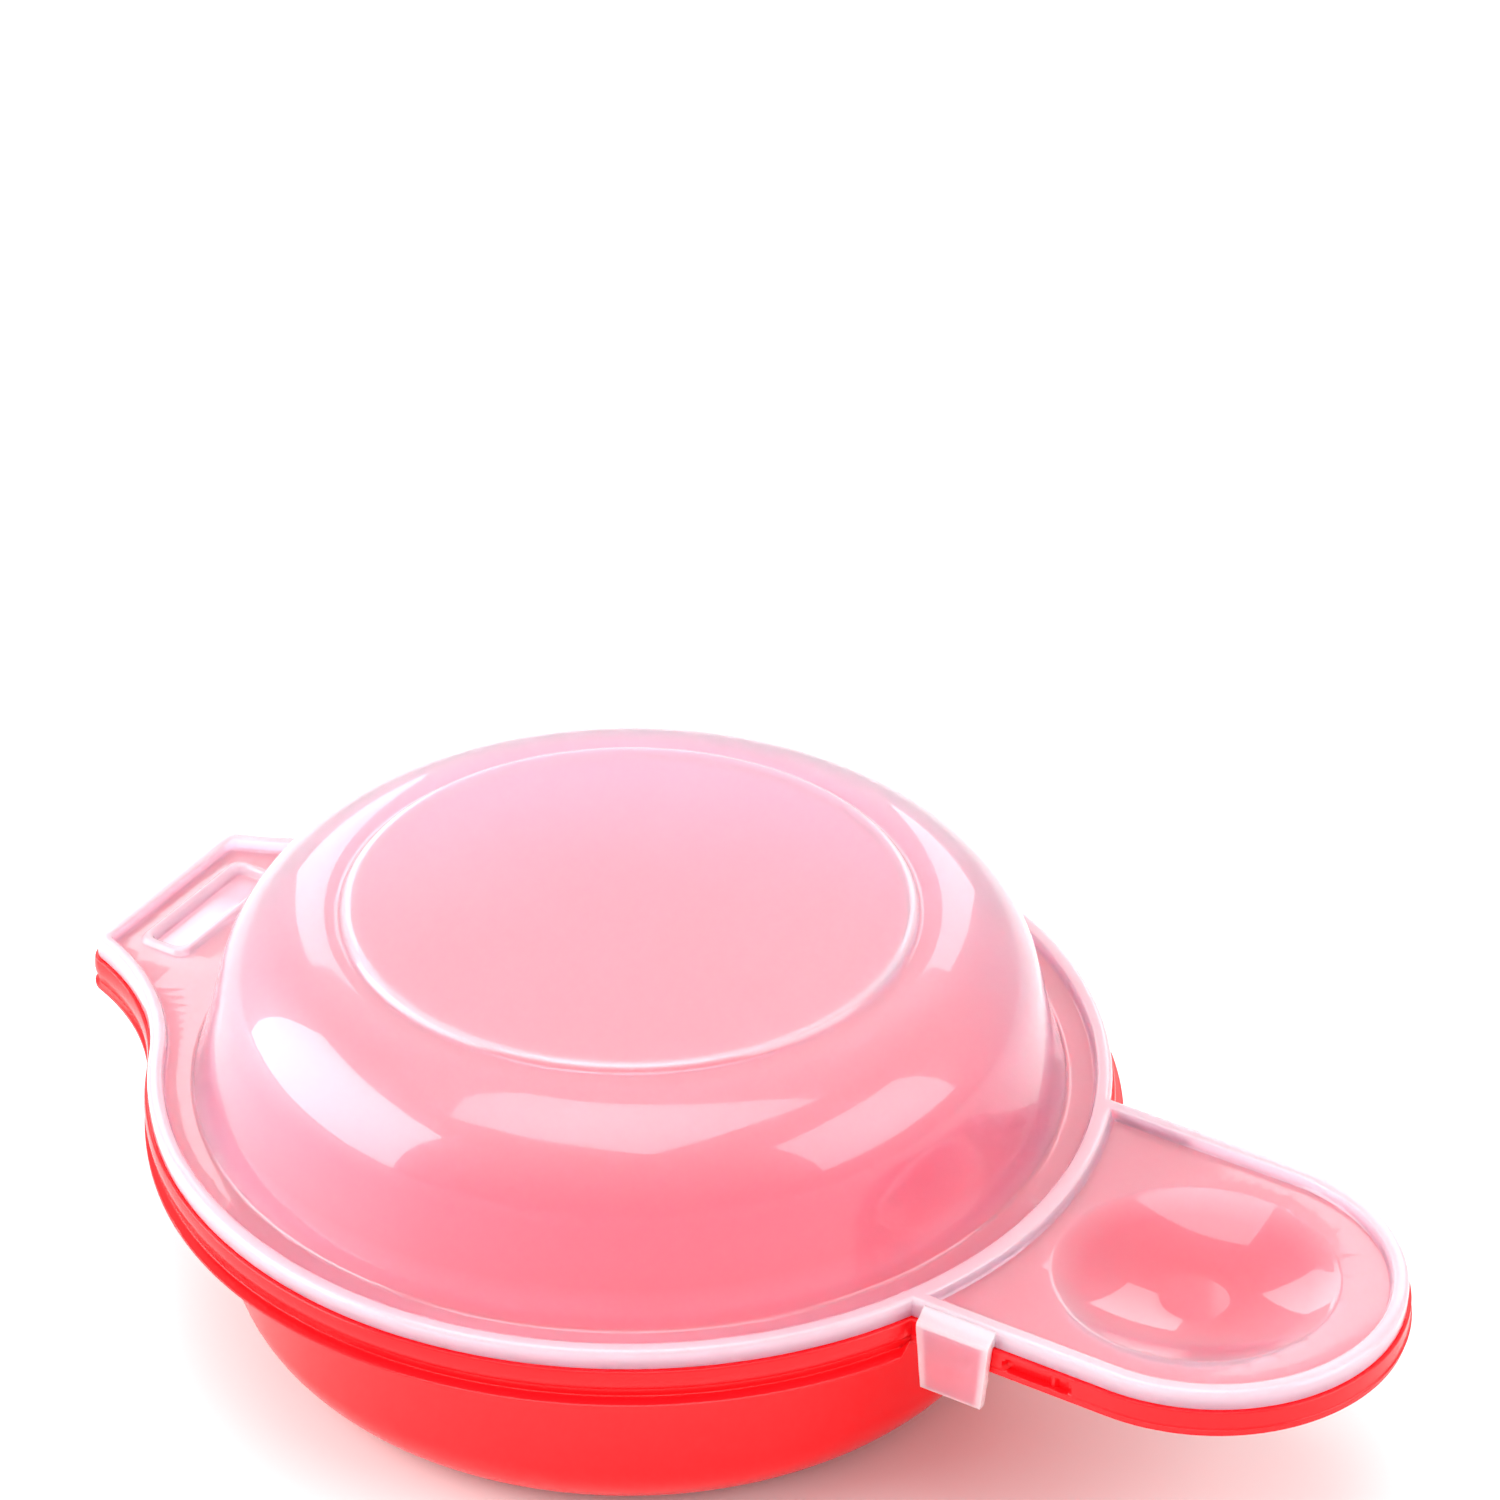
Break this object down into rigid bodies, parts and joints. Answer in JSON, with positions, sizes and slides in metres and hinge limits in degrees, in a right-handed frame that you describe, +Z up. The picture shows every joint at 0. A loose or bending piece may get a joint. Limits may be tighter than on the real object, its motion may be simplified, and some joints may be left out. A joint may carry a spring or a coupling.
{
  "type": "microwave egg cooker",
  "caption": "Round red bowl with a dished handle and slotted hinge tab, under a translucent domed lid that hooks on, swings open and is held shut by flexing side clips",
  "frame": {"origin": "centre of the bowl's flat underside, where it rests on a table or turntable", "axes": "+X runs along the handle away from the bowl, +Y to the left of the handle, +Z up through the lid"},
  "size_m": [0.1964, 0.1356, 0.0636],
  "materials": {
    "red_polypropylene": "polished red polypropylene",
    "natural_polypropylene": "polished natural polypropylene, translucent"
  },
  "bodies": {
    "base": {"base_bowl_wall": "red_polypropylene", "base_bowl_foot": "red_polypropylene", "base_bowl_floor": "red_polypropylene", "base_rim": "red_polypropylene", "base_handle": "red_polypropylene", "base_hinge_tab": "red_polypropylene"},
    "lid": {"lid_dome_wall": "natural_polypropylene", "lid_dome_shoulder": "natural_polypropylene", "lid_dome_top": "natural_polypropylene", "lid_rim": "natural_polypropylene", "lid_handle": "natural_polypropylene", "lid_hinge_tab": "natural_polypropylene", "lid_hinge_hook": "natural_polypropylene"},
    "clip_left": {"latch_clip_left": "natural_polypropylene"},
    "clip_right": {"latch_clip_right": "natural_polypropylene"}
  },
  "joints": [
    {"name": "lid_hinge", "type": "hinge", "parent": "base", "child": "lid", "pos_m": [-0.0799, 0, 0.0352], "axis": [0, -1, 0], "range_deg": [0, 100]},
    {"name": "clip_flex_left", "type": "hinge", "parent": "lid", "child": "clip_left", "pos_m": [0.06765, 0.028, 0.035], "axis": [1, 0, 0], "range_deg": [0, 8], "stiffness_Nm_per_rad": 0.02},
    {"name": "clip_flex_right", "type": "hinge", "parent": "lid", "child": "clip_right", "pos_m": [0.06765, -0.028, 0.035], "axis": [-1, 0, 0], "range_deg": [0, 8], "stiffness_Nm_per_rad": 0.02}
  ]
}
